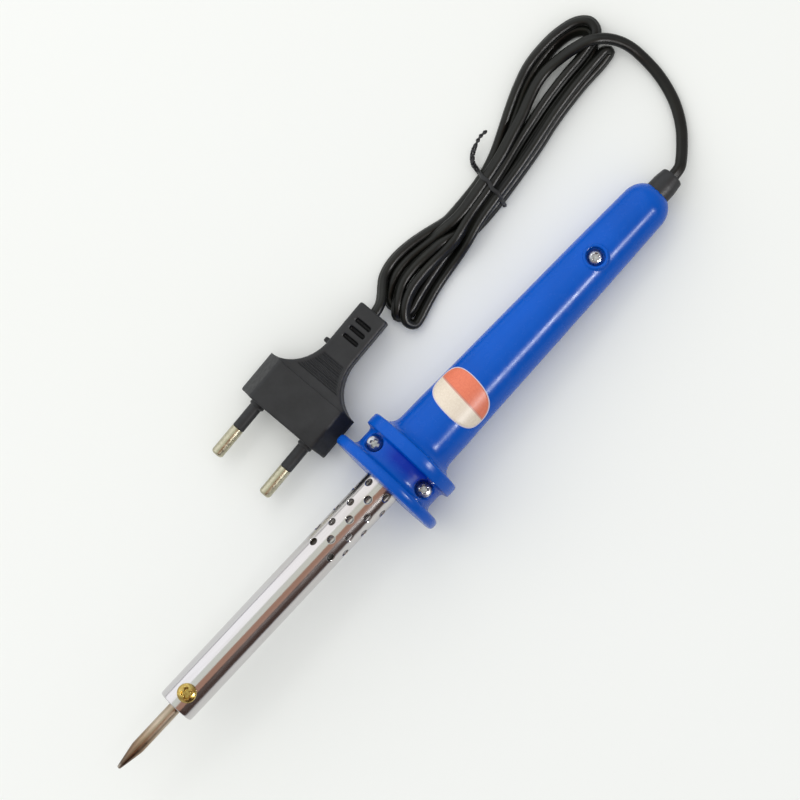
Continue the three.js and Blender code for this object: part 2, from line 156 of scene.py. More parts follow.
def eased(corners, closed=False):
    """A profile from (x, r, rounding) corners, each rounded by an arc of that radius."""
    out = []
    n = len(corners)
    for i, (x, r, k) in enumerate(corners):
        if k <= 0 or (not closed and i in (0, n - 1)):
            out.append((x, r))
            continue
        p = np.array((x, r))
        a = np.array(corners[i - 1][:2]) - p
        b = np.array(corners[(i + 1) % n][:2]) - p
        la, lb = np.linalg.norm(a), np.linalg.norm(b)
        a, b = a / la, b / lb
        half = math.acos(max(-1, min(1, a @ b))) / 2
        reach = min(k / max(math.tan(half), 1e-6), 0.48 * la, 0.48 * lb)
        k = reach * math.tan(half)
        centre = p + (a + b) / np.linalg.norm(a + b) * (k / math.sin(half))
        start, end = p + a * reach - centre, p + b * reach - centre
        steps = 6
        for s in range(steps + 1):
            t = s / steps
            v = start * (1 - t) + end * t
            v = v / np.linalg.norm(v) * k
            out.append(tuple(centre + v))
    if closed:
        out.append(out[0])
    return out


def nets(f, xs, ys, zs, steps=3):
    """Quads on the zero surface of f over a grid, moved onto it exactly."""
    X, Y, Z = np.meshgrid(xs, ys, zs, indexing="ij")
    v = f(X, Y, Z).astype(np.float32)
    inside = v < 0
    corner = [(i, j, k) for i in (0, 1) for j in (0, 1) for k in (0, 1)]
    nx, ny, nz = (n - 1 for n in v.shape)

    def at(a, c):
        return a[c[0]:c[0] + nx, c[1]:c[1] + ny, c[2]:c[2] + nz]

    count = sum(at(inside, c).astype(np.int8) for c in corner)
    active = (count > 0) & (count < 8)
    idx = np.argwhere(active)
    number = -np.ones(active.shape, np.int64)
    number[active] = np.arange(len(idx))
    axes = (xs, ys, zs)
    total = np.zeros((len(idx), 3))
    crossings = np.zeros(len(idx))
    for a in range(3):
        for c in corner:
            if c[a] == 1:
                continue
            d = list(c)
            d[a] = 1
            va = v[tuple((idx + c).T)]
            vb = v[tuple((idx + d).T)]
            hit = (va < 0) != (vb < 0)
            t = np.where(hit, va / np.where(hit, va - vb, 1), 0)
            p = np.stack([axes[q][idx[:, q] + c[q]] for q in range(3)], 1).astype(float)
            p[:, a] += t * (axes[a][idx[:, a] + 1] - axes[a][idx[:, a]])
            total += p * hit[:, None]
            crossings += hit
    verts = total / crossings[:, None]
    faces = []
    for a in range(3):
        b, c = (a + 1) % 3, (a + 2) % 3
        lo = [slice(None)] * 3
        hi = [slice(None)] * 3
        lo[a], hi[a] = slice(0, -1), slice(1, None)
        flips = inside[tuple(lo)] != inside[tuple(hi)]
        e = np.argwhere(flips)
        ok = (e[:, b] > 0) & (e[:, c] > 0) & (e[:, b] < v.shape[b] - 1) & (e[:, c] < v.shape[c] - 1)
        e = e[ok]
        first_in = inside[tuple(e.T)]
        quad = []
        for db, dc in ((1, 1), (0, 1), (0, 0), (1, 0)):
            q = e.copy()
            q[:, b] -= db
            q[:, c] -= dc
            quad.append(number[tuple(q.T)])
        quad = np.stack(quad, 1)
        quad[~first_in] = quad[~first_in][:, ::-1]
        faces.append(quad)
    faces = np.concatenate(faces)
    eps = 0.01
    for _ in range(steps):
        x, y, z = verts.T
        value = f(x, y, z)
        g = np.stack([f(x + eps, y, z) - f(x - eps, y, z), f(x, y + eps, z) - f(x, y - eps, z),
                      f(x, y, z + eps) - f(x, y, z - eps)], 1) / (2 * eps)
        move = g * (value / np.maximum((g * g).sum(1), 0.05))[:, None]
        size = np.linalg.norm(move, axis=1, keepdims=True)
        verts = verts - move * np.minimum(1, 0.25 / np.maximum(size, 1e-9))
    return verts, faces


def span(lo, hi, step):
    return np.linspace(lo, hi, max(2, int(math.ceil((hi - lo) / step)) + 1))


def spans(*parts):
    """Grid lines from (lo, hi, step) stretches laid end to end."""
    out = [span(*p) for p in parts]
    return np.unique(np.round(np.concatenate(out), 6))


# Blends of distance fields: a rounded union, intersection and cut.
def join(a, b, k):
    h = np.clip(0.5 + 0.5 * (b - a) / k, 0, 1)
    return b * (1 - h) + a * h - k * h * (1 - h)


def meet(a, b, k):
    return -join(-a, -b, k)


def carve(a, b, k):
    return meet(a, -b, k)


def disc(x, r, x0, x1, radius, rim):
    qx = np.abs(x - (x0 + x1) / 2) - (x1 - x0) / 2 + rim
    qr = r - radius + rim
    return np.minimum(np.maximum(qx, qr), 0) + np.hypot(np.maximum(qx, 0), np.maximum(qr, 0)) - rim


def slab(x, y, z, lo, hi, rim=0.0):
    q = [np.abs(c - (a + b) / 2) - (b - a) / 2 + rim for c, a, b in zip((x, y, z), lo, hi)]
    outside = np.sqrt(sum(np.maximum(c, 0) ** 2 for c in q))
    return outside + np.minimum(np.maximum.reduce(q), 0) - rim


# ------------------------------------------------------------------ materials
def srgb(r, g, b):
    def lin(c):
        c /= 255
        return c / 12.92 if c <= 0.04045 else ((c + 0.055) / 1.055) ** 2.4
    return (lin(r), lin(g), lin(b), 1)


class Look:
    """A node material built up step by step."""

    def __init__(self, name, rough=0.5, metal=0.0, **sockets):
        self.mat = bpy.data.materials.new(name)
        self.mat.use_nodes = True
        self.tree = self.mat.node_tree
        self.bsdf = self.tree.nodes["Principled BSDF"]
        self.bsdf.inputs["Metallic"].default_value = metal
        self.bsdf.inputs["Roughness"].default_value = rough
        for key, value in sockets.items():
            self.bsdf.inputs[key.replace("_", " ")].default_value = value
        self.coord = self.node("ShaderNodeTexCoord").outputs["Object"]
        self.height = None

    def node(self, kind, **inputs):
        n = self.tree.nodes.new(kind)
        for key, value in inputs.items():
            socket = n.inputs[key.replace("_", " ")]
            if isinstance(value, bpy.types.NodeSocket):
                self.tree.links.new(value, socket)
            else:
                socket.default_value = value
        return n

    def stretched(self, scale, turn=(0, 0, 0)):
        n = self.node("ShaderNodeMapping", Vector=self.coord)
        n.inputs["Scale"].default_value = scale
        n.inputs["Rotation"].default_value = turn
        return n.outputs["Vector"]

    def noise(self, scale, detail=3, rough=0.55, vector=None):
        n = self.node("ShaderNodeTexNoise", Vector=vector or self.coord, Scale=scale, Detail=detail,
                      Roughness=rough)
        return n.outputs["Fac"]

    def ramp(self, value, *stops):
        n = self.node("ShaderNodeValToRGB", Fac=value)
        e = n.color_ramp.elements
        while len(e) < len(stops):
            e.new(0.5)
        for el, (at, colour) in zip(e, stops):
            el.position = at
            el.color = colour if isinstance(colour, tuple) else (colour, colour, colour, 1)
        return n.outputs["Color"]

    def mix(self, fac, a, b, kind="MIX"):
        n = self.tree.nodes.new("ShaderNodeMix")
        n.data_type = "RGBA"
        n.blend_type = kind
        for socket, value in ((n.inputs[0], fac), (n.inputs[6], a), (n.inputs[7], b)):
            if isinstance(value, bpy.types.NodeSocket):
                self.tree.links.new(value, socket)
            else:
                socket.default_value = value
        return n.outputs[2]

    def math(self, op, a, b=0.0):
        n = self.tree.nodes.new("ShaderNodeMath")
        n.operation = op
        for socket, value in zip(n.inputs, (a, b)):
            if isinstance(value, bpy.types.NodeSocket):
                self.tree.links.new(value, socket)
            else:
                socket.default_value = value
        return n.outputs[0]

    def spread(self, value, lo, hi):
        n = self.node("ShaderNodeMapRange", Value=value)
        n.inputs["From Min"].default_value = 0.3
        n.inputs["From Max"].default_value = 0.7
        n.inputs["To Min"].default_value = lo
        n.inputs["To Max"].default_value = hi
        return n.outputs["Result"]

    def edges(self, lo=0.52, hi=0.6):
        """1 on convex edges, 0 elsewhere."""
        n = self.node("ShaderNodeNewGeometry")
        return self.ramp(n.outputs["Pointiness"], (lo, 0.0), (hi, 1.0))

    def colour(self, value):
        self.tree.links.new(value, self.bsdf.inputs["Base Color"])
        return self

    def roughness(self, value):
        self.tree.links.new(value, self.bsdf.inputs["Roughness"])
        return self

    def bump(self, value, depth, strength=1.0):
        n = self.node("ShaderNodeBump", Height=value, Strength=strength)
        n.inputs["Distance"].default_value = depth
        if self.height is not None:
            self.tree.links.new(self.height, n.inputs["Normal"])
        self.height = n.outputs["Normal"]
        self.tree.links.new(self.height, self.bsdf.inputs["Normal"])
        return self


def blue_plastic():
    m = Look("moulded_blue", rough=0.24, Specular_IOR_Level=0.15)
    cloud = m.noise(38, 3)
    base = m.ramp(cloud, (0.3, (0.0004, 0.082, 0.46, 1)), (0.7, (0.0006, 0.096, 0.53, 1)))
    # painted shade: the waist between the flanges is darkened to a deeper navy, most towards the rear flange
    xyz = m.node("ShaderNodeSeparateXYZ", Vector=m.coord)
    front, back = ((IRON @ Vector((at, 0, 14.3))).x for at in (118.0, 124.6))
    along = m.math("DIVIDE", m.math("SUBTRACT", xyz.outputs["X"], front), back - front)
    across = m.math("DIVIDE", m.math("ADD", xyz.outputs["Y"], 0.012), 0.024)
    painted_waist_shade = m.math("MULTIPLY", m.ramp(along, (0.1, 0.0), (0.6, 1.0), (0.98, 1.0), (1.0, 0.0)),
                  m.ramp(across, (0.0, 0.3), (0.12, 1.0), (0.6, 1.0), (0.85, 0.0)))
    base = m.mix(m.math("MULTIPLY", painted_waist_shade, 0.85), base, (0.0001, 0.016, 0.33, 1))
    scuff = m.ramp(m.noise(700, 4, 0.7, m.stretched((0.2, 1.3, 1.0))), (0.66, 0.0), (0.8, 1.0))
    m.colour(m.mix(m.math("MULTIPLY", scuff, 0.08), base, (0.03, 0.2, 0.66, 1)))
    m.roughness(m.spread(m.noise(420, 4), 0.19, 0.3))
    m.bump(m.noise(1300, 2), 0.00001, 0.15)
    m.bump(m.noise(60, 2), 0.00012, 0.12)
    return m.mat


def chrome_plate():
    m = Look("chrome_plate", rough=0.12, metal=1.0)
    lines = m.noise(260, 5, 0.65, m.stretched((0.03, 1.0, 1.0)))
    heat = m.noise(24, 3, 0.5, m.stretched((0.5, 1.0, 1.0)))
    tint = m.ramp(heat, (0.35, srgb(204, 202, 204)), (0.6, srgb(198, 193, 190)), (0.85, srgb(176, 164, 150)))
    m.colour(m.mix(m.math("MULTIPLY", m.ramp(lines, (0.5, 0.0), (0.8, 1.0)), 0.3), tint, srgb(150, 140, 130)))
    m.roughness(m.spread(lines, 0.1, 0.19))
    m.bump(lines, 0.00002, 0.25)
    m.bump(m.noise(90, 2), 0.00015, 0.12)
    return m.mat


def tip_plate():
    """Plated copper: bare and bright towards the barrel, browned at the cone, tinned at the point."""
    m = Look("tip_plate", rough=0.3, metal=1.0)
    x = m.node("ShaderNodeSeparateXYZ", Vector=m.coord).outputs["X"]
    low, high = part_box("soldering_tip")
    along = m.node("ShaderNodeMapRange", Value=x)
    along.inputs["From Min"].default_value = low.x
    along.inputs["From Max"].default_value = low.x + 0.026
    patch = m.noise(300, 4, 0.6)
    place = m.math("ADD", along.outputs["Result"], m.math("MULTIPLY", m.math("SUBTRACT", patch, 0.5), 0.16))
    m.colour(m.ramp(place, (0.0, srgb(168, 160, 150)), (0.07, srgb(96, 84, 74)), (0.24, srgb(120, 98, 80)),
                    (0.46, srgb(150, 130, 108)), (0.7, srgb(178, 164, 146)), (1.0, srgb(160, 146, 128))))
    m.roughness(m.spread(m.noise(420, 4, 0.6, m.stretched((0.4, 1, 1))), 0.2, 0.42))
    m.bump(m.noise(900, 4), 0.00003, 0.35)
    return m.mat


def zinc_plate(name, light, dark, rough=(0.2, 0.4)):
    m = Look(name, rough=0.3, metal=1.0)
    spot = m.noise(700, 4, 0.6)
    m.colour(m.mix(m.edges(0.5, 0.62), m.ramp(spot, (0.35, dark), (0.65, light)), light))
    m.roughness(m.spread(m.noise(1300, 3), *rough))
    m.bump(m.noise(1600, 3), 0.00002, 0.4)
    return m.mat


def black_vinyl(name, dark, light, rough, grain=2600, depth=0.00003, shine=0.36):
    m = Look(name, rough=0.5, Specular_IOR_Level=shine)
    cloud = m.noise(120, 4)
    base = m.ramp(cloud, (0.3, dark), (0.7, light))
    dust = m.ramp(m.noise(2400, 3, 0.7), (0.66, 0.0), (0.8, 1.0))
    m.colour(m.mix(m.math("MULTIPLY", dust, 0.08), base, srgb(84, 84, 80)))
    m.roughness(m.spread(m.noise(800, 3), *rough))
    m.bump(m.noise(grain, 3), depth, 0.5)
    m.bump(m.noise(240, 2), 0.00008, 0.25)
    return m.mat


# The sticker: its middle along the grip, half its length, half its width, how far it sits to one side.
LABEL_AT, LABEL_ALONG, LABEL_ACROSS, LABEL_SIDE = 149.0, 6.9, 11.4, 1.0
# How square its corners are, how askew it was stuck on, and the grip's radius under it.
LABEL_SQUARE, LABEL_SKEW, LABEL_RADIUS = 0.86, 0.07, 9.72


def label_film():
    """Two-tone sticker: cream towards the flange, salmon towards the lead, a pale border."""
    m = Look("label_film", rough=0.42, Specular_IOR_Level=0.45)
    xyz = m.node("ShaderNodeSeparateXYZ", Vector=m.coord)
    mid = IRON @ Vector((LABEL_AT, 0, 0))
    turn = m.math("ARCTAN2", xyz.outputs["Y"], m.math("SUBTRACT", xyz.outputs["Z"], mid.z))
    w = m.math("DIVIDE", m.math("SUBTRACT", turn, LABEL_SIDE / LABEL_RADIUS), LABEL_ACROSS / LABEL_RADIUS)
    skew = m.math("MULTIPLY", turn, LABEL_SKEW * LABEL_RADIUS * MM)
    along = m.math("SUBTRACT", m.math("SUBTRACT", xyz.outputs["X"], mid.x + LABEL_RADIUS * MM * UP.x), skew)
    u = m.math("DIVIDE", along, LABEL_ALONG * MM)
    rim = m.math("ADD", m.math("POWER", m.math("ABSOLUTE", u), 2 / LABEL_SQUARE),
                 m.math("POWER", m.math("ABSOLUTE", w), 2 / LABEL_SQUARE))
    grain = m.noise(1800, 4, 0.7)
    cream = m.ramp(grain, (0.35, srgb(224, 209, 188)), (0.65, srgb(235, 222, 203)))
    salmon = m.ramp(grain, (0.35, srgb(222, 112, 80)), (0.65, srgb(232, 126, 92)))
    body = m.mix(m.ramp(u, (0.0, 0.0), (0.03, 1.0)), cream, salmon)
    line = m.ramp(m.math("ABSOLUTE", u), (0.035, 1.0), (0.06, 0.0))
    body = m.mix(m.math("MULTIPLY", line, 0.7), body, srgb(196, 104, 84))
    m.colour(m.mix(m.ramp(rim, (0.88, 0.0), (0.9, 1.0)), body, srgb(222, 214, 228)))
    m.roughness(m.spread(grain, 0.35, 0.5))
    m.bump(m.noise(700, 3), 0.00002, 0.4)
    return m.mat


def plain(name, dark, light, rough, metal=0.0, scale=400, depth=0.00004):
    """A material for the pieces inside: mottled, with a fine grain."""
    m = Look(name, rough=sum(rough) / 2, metal=metal)
    m.colour(m.ramp(m.noise(scale, 4), (0.3, dark), (0.7, light)))
    m.roughness(m.spread(m.noise(scale * 2, 3), *rough))
    m.bump(m.noise(scale * 4, 3), depth, 0.5)
    return m.mat


MAT = {
    "blue_plastic": blue_plastic(),
    "chrome_plate": chrome_plate(),
    "tip_metal": tip_plate(),
    "label_film": label_film(),
    "zinc_plate": zinc_plate("zinc_plate", srgb(206, 208, 212), srgb(160, 163, 168)),
    "brass_part": zinc_plate("yellow_zinc", srgb(206, 182, 108), srgb(150, 122, 62), (0.18, 0.36)),
    "nickel_plate": zinc_plate("nickel_plate", srgb(190, 186, 164), srgb(166, 161, 138), (0.22, 0.36)),
    "black_pvc": black_vinyl("moulded_vinyl", srgb(30, 31, 33), srgb(42, 43, 45), (0.42, 0.58)),
    "cord_pvc": black_vinyl("lead_vinyl", srgb(9, 10, 9), srgb(21, 22, 17), (0.34, 0.46), 1100, 0.00001, 0.3),
    "ceramic_part": plain("ceramic", srgb(150, 146, 132), srgb(184, 178, 162), (0.6, 0.8)),
    # painted shade: the mica inside the barrel is coloured dark brown, so the vents read dark as the shaded inside
    # of the barrel
    "mica_sheet": plain("mica", srgb(34, 29, 24), srgb(60, 53, 43), (0.4, 0.7)),
    "resistance_wire": plain("drawn_wire", srgb(112, 108, 104), srgb(150, 146, 140), (0.3, 0.5), 1.0),
    "fibre_sleeve": plain("glass_fibre", srgb(126, 124, 106), srgb(160, 156, 136), (0.8, 0.95), 0.0, 1500,
                          0.0001),
    "tinned_metal": plain("tinned", srgb(176, 178, 180), srgb(206, 208, 210), (0.25, 0.4), 1.0),
    "core_brown": plain("core_brown", srgb(88, 50, 28), srgb(116, 68, 40), (0.4, 0.55)),
    "core_blue": plain("core_blue", srgb(34, 86, 164), srgb(52, 108, 190), (0.4, 0.55)),
}
SLOT_OF = {s["node"]: s["material_slot"] for s in frame["record"]["subparts"]}


def dress(obj, body, slot, *nodes, material=None):
    """Gives a piece its material and body, and hides the CAD nodes that it stands for."""
    obj.data.materials.clear()
    obj.data.materials.append(material or MAT[slot])
    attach(obj, body)
    if nodes:
        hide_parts(*nodes)
    return obj


# ------------------------------------------------------------------ the lead
# Its free stretch, from the grommet to the hank.
FREE = [
    (121.2, 0, 6.5), (124, 0.35, 6.0), (126.6, 1.9, 5.0), (129.6, 4.3, 3.6), (134.0, 8.6, 2.3),
    (138.2, 15.1, 1.95), (141.0, 23.5, 1.9), (141.8, 31.2, 2.3), (141.2, 37.2, 4.0),
]
# The hank: seven runs through the tie, three folds at each end, the last run into the plug.
HANK = [
    # over the folds and down the middle of the bundle
    (138.4, 43.4, 5.8), (134.4, 47.0, 6.9), (129.6, 49.1, 7.0), (123.9, 50.6, 5.8), (118.2, 51.3, 4.9),
    (112.6, 50.6, 4.7), (107.8, 49.2, 4.7), (103.2, 47.5, 4.8), (97, 45.5, 5.0), (89.5, 43.0, 5.2),
    (81.7, 41.4, 5.3), (74, 39.9, 5.0), (66, 39.6, 4.2), (59.5, 40.8, 3.2), (53, 42.2, 2.2),
    (46.5, 42.7, 1.9), (41, 41.8, 1.9), (36.6, 39.7, 2.0),
    # first lower fold, back up under the others
    (34.1, 36.9, 2.1), (36.4, 34.6, 1.9), (42, 35.2, 1.6), (49, 36.4, 1.6), (57, 37.6, 1.6),
    (66, 38.8, 1.7), (74, 39.9, 1.8), (81.7, 40.6, 1.9), (90, 43.2, 1.8), (98, 46.8, 1.7),
    (105, 50.2, 1.6), (112, 53.2, 1.5), (119, 54.9, 1.5), (127, 55.2, 1.5),
    # inner upper fold, down the inside of the right group
    (133.6, 53.4, 1.6), (136.4, 50.2, 1.7), (134.2, 46.6, 1.7), (128, 44.4, 1.7), (120, 43.6, 1.7),
    (112, 42.6, 1.7), (104, 41.0, 1.7), (96, 39.6, 1.8), (88, 38.6, 1.9), (81.7, 37.7, 1.9),
    (74, 36.9, 2.0), (66, 37.0, 3.0), (57, 38.4, 4.2), (49, 39.3, 4.4), (42, 38.4, 4.2),
    # second lower fold
    (36.6, 35.2, 4.0), (33.6, 32.0, 3.2), (36.3, 30.4, 2.1), (42, 31.7, 1.7), (48.5, 33.0, 1.7),
    (57, 34.2, 1.8), (66, 34.7, 1.9), (74, 34.8, 1.9), (81.7, 35.1, 1.9), (90, 36.0, 1.9),
    (99.4, 37.3, 1.9), (109.5, 39.2, 1.9), (122.9, 40.4, 1.9), (131.4, 40.5, 1.9),
    # short upper fold, standing on its edge
    (136.2, 41.2, 2.6), (135.8, 42.3, 4.6), (130.4, 42.4, 5.2), (122, 41.9, 5.0), (114, 40.9, 4.9),
    (106, 39.5, 5.0), (98, 38.2, 5.0), (90, 37.0, 5.1), (81.7, 36.2, 5.2), (74, 35.3, 4.9),
    (66, 34.0, 4.2), (59, 32.9, 2.8), (48.2, 30.9, 1.9), (40.4, 28.6, 1.9),
    # third lower fold
    (35.2, 27.5, 2.4), (34.0, 30.4, 4.0), (37.6, 33.6, 5.0), (43, 35.4, 5.0), (49, 36.1, 4.9),
    (57, 36.4, 4.9), (66, 37.3, 5.0), (74, 38.3, 5.1), (81.7, 39.0, 5.2), (90, 40.6, 5.0),
    (98, 42.4, 4.8), (106, 43.8, 4.6), (114, 44.8, 4.4), (122, 45.4, 4.2), (130, 45.8, 4.1),
    # outer upper fold, and down the outside to the plug
    (136.8, 47.4, 4.6), (138.6, 51.0, 5.0), (136.2, 54.4, 5.0), (130.4, 56.2, 5.0), (123, 56.6, 4.8),
    (116, 56.0, 4.0), (109.6, 54.0, 4.2), (103, 51.2, 3.8), (96.2, 48.2, 3.0), (89, 45.3, 2.2),
    (81.7, 43.3, 1.9), (73, 41.9, 1.9), (65.2, 41.6, 1.9), (59.7, 43.2, 1.9), (51.8, 45.2, 1.9),
    (45.3, 45.6, 2.0), (40.0, 44.4, 2.8), (36.2, 41.6, 4.6), (33.0, 39.0, 6.3), (29.6, 37.9, 7.0),
    (26.6, 37.7, 7.0),
]
CORD_W, CORD_T = 3.7, 2.75
HANK_TURN = 0.0073
REACH, REST = 2.9, 1.5      # how near two runs come, and how low one lies


def spline(points, step):
    """Points an even step apart on a smooth curve through the given ones."""
    p = np.array(points, float)
    p = np.vstack([2 * p[0] - p[1], p, 2 * p[-1] - p[-2]])
    out = []
    for i in range(1, len(p) - 2):
        k = [0]
        for a, b in zip(p[i - 1:i + 2], p[i:i + 3]):
            k.append(k[-1] + max(np.linalg.norm(b - a), 1e-6) ** 0.5)
        for t in np.linspace(k[1], k[2], 24, endpoint=False):
            a = [((k[j + 1] - t) * p[i - 1 + j] + (t - k[j]) * p[i + j]) / (k[j + 1] - k[j])
                 for j in range(3)]
            b = [((k[j + 2] - t) * a[j] + (t - k[j]) * a[j + 1]) / (k[j + 2] - k[j]) for j in range(2)]
            out.append(((k[2] - t) * b[0] + (t - k[1]) * b[1]) / (k[2] - k[1]))
    out.append(p[-2])
    out = np.array(out)
    s = np.concatenate([[0], np.cumsum(np.linalg.norm(np.diff(out, axis=0), axis=1))])
    even = np.linspace(0, s[-1], int(round(s[-1] / step)) + 1)
    return np.stack([np.interp(even, s, out[:, q]) for q in range(3)], 1)


def settle(home, free, step, rounds=240):
    """Pushes the runs of the hank apart until they rest on the table and on each other."""
    n = len(home)
    i, j = np.triu_indices(n, int(round(9 / step)))
    squat = np.array((1, 1, 0.84))
    held = np.ones(n)
    held[:free] = 0
    held[free:free + 8] = np.linspace(0, 1, 8)
    held[-5:] = 0
    shift = np.zeros_like(home)
    for _ in range(rounds):
        p = home + shift
        d = (p[i] - p[j]) * squat
        dist = np.sqrt((d * d).sum(1))
        near = dist < REACH
        a, b, d, dist = i[near], j[near], d[near], dist[near]
        push = d / np.maximum(dist, 1e-6)[:, None] * ((REACH - dist) * 0.15)[:, None]
        np.add.at(shift, a, push)
        np.add.at(shift, b, -push)
        shift[:, 2] -= 0.01
        shift[1:-1] += 0.3 * ((shift[:-2] + shift[2:]) / 2 - shift[1:-1])
        shift *= np.array((0.99, 0.99, 0.997)) * held[:, None]
        shift[:, 2] = np.maximum(shift[:, 2], np.where(held > 0, REST - home[:, 2], shift[:, 2]))
    return home + shift


def frames(p, lean):
    """Tangents and the direction of the section's width, leaning from level by these angles."""
    t = np.gradient(p, axis=0)
    t /= np.linalg.norm(t, axis=1, keepdims=True)
    up = np.tile((0.0, 0.0, 1.0), (len(p), 1))
    side = np.cross(up, t)
    side /= np.linalg.norm(side, axis=1, keepdims=True)
    top = np.cross(t, side)
    c, s = np.cos(lean)[:, None], np.sin(lean)[:, None]
    return t, side * c + top * s, top * c - side * s


def twin_section(width, thick, around=28):
    """Two touching round cores under one skin: a flat oval with a shallow valley in each face."""
    r = thick / 2
    off = width / 2 - r
    out = []
    for k in range(around):
        a = 2 * math.pi * k / around
        c, s = math.cos(a), math.sin(a)
        cx = off * (1 if c >= 0 else -1)
        b = c * cx
        reach = b + math.sqrt(max(b * b - cx * cx + r * r, 0))
        out.append((reach * c, reach * s))
    return np.array(out)


def sweep(p, wide, high, section, capped=True):
    n, m = len(p), len(section)
    verts = (p[:, None, :] + wide[:, None, :] * section[None, :, 0:1]
             + high[:, None, :] * section[None, :, 1:2])
    verts = verts.reshape(-1, 3)
    faces = [(a * m + k, a * m + (k + 1) % m, (a + 1) * m + (k + 1) % m, (a + 1) * m + k)
             for a in range(n - 1) for k in range(m)]
    if capped:
        faces += [tuple(range(m))[::-1], tuple(range((n - 1) * m, n * m))]
    return verts, faces


def lead():
    step = 1.5
    # the hank lies turned a little from the iron's own line
    hank = np.array(HANK)
    turn = HANK_TURN * np.clip((hank[:, 0] - 27) / 25, 0, 1)
    hank[:, 0] += turn * hank[:, 1]
    hank[:, 1] -= turn * (hank[:, 0] + 5)
    whole = spline([(118.4, 0, 6.6)] + FREE + hank.tolist(), step)
    free = int(np.argmin(np.linalg.norm(whole - np.array(FREE[-1]), axis=1)))
    whole = settle(whole, free, step)
    path = spline(whole[::2], 0.75)
    s = np.linspace(0, 1, len(path)) * len(path) * 0.75
    into = np.clip((s - 105) / 40, 0, 1)
    lean = np.radians(16 + 42 * into + 16 * np.sin(s / 23.0) * into + 9 * np.sin(s / 61.0 + 1))
    t, wide, high = frames(path, lean)
    verts, faces = sweep(path, wide, high, twin_section(CORD_W, CORD_T))
    verts[:, 2] = np.maximum(verts[:, 2], 0.03)
    obj = piece("mains_lead", verts, faces, place=WORLD)
    obj.data.shade_smooth()
    return obj, path


cord, cord_path = lead()
dress(cord, "iron", "black_pvc", "cord_free", "cord_hank", material=MAT["cord_pvc"])


def oval(wide, high):
    """Twelve points round an ellipse with these half widths."""
    turns = np.linspace(0, 2 * math.pi, 12, endpoint=False)
    return np.array([(wide * math.cos(a), high * math.sin(a)) for a in turns])


TAIL_STEP, TWIST = 0.22, 3.3      # along the tie's tail: the spacing of its points, and one full twist


def tie():
    """A flat twist tie round the bundle, its ends twisted into a short tail."""
    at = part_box("twist_tie")[0].x / MM + 0.6
    cross = []
    for a, b in zip(cord_path, cord_path[1:]):
        if (a[0] - at) * (b[0] - at) <= 0 and abs(a[0] - b[0]) > 1e-6:
            t = (at - a[0]) / (b[0] - a[0])
            cross.append(a[1:] + t * (b[1:] - a[1:]))
    cross = np.array(cross)
    centre = cross.mean(0)
    loop = []
    for k in range(72):
        a = 2 * math.pi * k / 72
        d = np.array((math.cos(a), math.sin(a)))
        reach = max((cross - centre) @ d) + 1.95
        loop.append((a, reach))
    hull = []
    for k in range(72):
        a = loop[k][0]
        best = min(r / math.cos(b - a) for b, r in loop if math.cos(b - a) > 0.2)
        hull.append((centre[0] + best * math.cos(a), centre[1] + best * math.sin(a)))
    hull = np.array(hull)
    for _ in range(3):
        hull = (np.roll(hull, 1, 0) + 2 * hull + np.roll(hull, -1, 0)) / 4
    hull[:, 1] = np.maximum(hull[:, 1], 0.35)
    low, high = hull[:, 0].min(), hull[:, 0].max()
    ring = []
    for y, z in hull:
        slant = (y - low) / (high - low)
        ring.append((at - 0.9 + 1.5 * slant + 0.25 * math.sin(y * 1.3), y, z))
    ring = np.array(ring)
    section = [(0.62 * math.cos(a) * (1 if abs(math.sin(a)) < 0.8 else 0.75), 0.2 * math.sin(a)
                + (0.14 * math.sin(a) if abs(math.cos(a)) < 0.35 else 0))
               for a in np.linspace(0, 2 * math.pi, 16, endpoint=False)]
    n, m = len(ring), len(section)
    verts = []
    for k in range(n):
        t = ring[(k + 1) % n] - ring[k - 1]
        t /= np.linalg.norm(t)
        out = np.array((0, ring[k][1] - centre[0], ring[k][2] - centre[1]))
        out -= (out @ t) * t
        out /= np.linalg.norm(out)
        wide = np.cross(t, out)
        verts += [ring[k] + wide * u + out * v for u, v in section]
    faces = [(a * m + b, a * m + (b + 1) % m, ((a + 1) % n) * m + (b + 1) % m, ((a + 1) % n) * m + b)
             for a in range(n) for b in range(m)]
    band = piece("tie_band", verts, faces, place=WORLD)
    dress(band, "iron", "black_pvc", "twist_tie")

    left = ring[int(np.argmax(ring[:, 1] - 0.3 * ring[:, 2]))]
    tail = spline([left + (0, -0.3, 0), left + (0.3, 1.6, 0.3), (83.2, 47.6, 4.2), (85.2, 49.5, 3.6),
                   (87.9, 50.7, 3.8), (90.6, 51.3, 4.6), (93.0, 51.0, 5.6)], TAIL_STEP)
    t, wide, high = frames(tail, np.zeros(len(tail)))
    s = np.arange(len(tail)) * TAIL_STEP
    tight = np.clip((11.0 - s) / 1.2, 0, 1)
    for name, phase in (("tie_tail_a", 0.0), ("tie_tail_b", math.pi)):
        turn = s * 2 * math.pi / TWIST + phase
        keep = len(tail) if phase == 0 else int(12.0 / TAIL_STEP)
        away = wide * np.cos(turn)[:, None] + high * np.sin(turn)[:, None]
        flat = high * np.cos(turn)[:, None] - wide * np.sin(turn)[:, None]
        line = tail + away * (0.42 * tight)[:, None]
        strip = piece(name, *sweep(line[:keep], away[:keep], flat[:keep], oval(0.33, 0.66)), place=WORLD)
        dress(strip, "iron", "black_pvc")
    nub = ring[int(np.argmin(ring[:, 1] + 0.5 * ring[:, 2]))]
    kink = spline([nub + (0.1, 0.5, 0.4), nub + (0, -0.25, 0.1), nub + (-0.35, -0.75, -0.3)], 0.1)
    t, wide, high = frames(kink, np.zeros(len(kink)))
    dress(piece("tie_kink", *sweep(kink, wide, high, oval(0.62, 0.42)), place=WORLD), "iron", "black_pvc")
    return [band.name, "tie_tail_a", "tie_tail_b", "tie_kink"]


tie_pieces = tie()


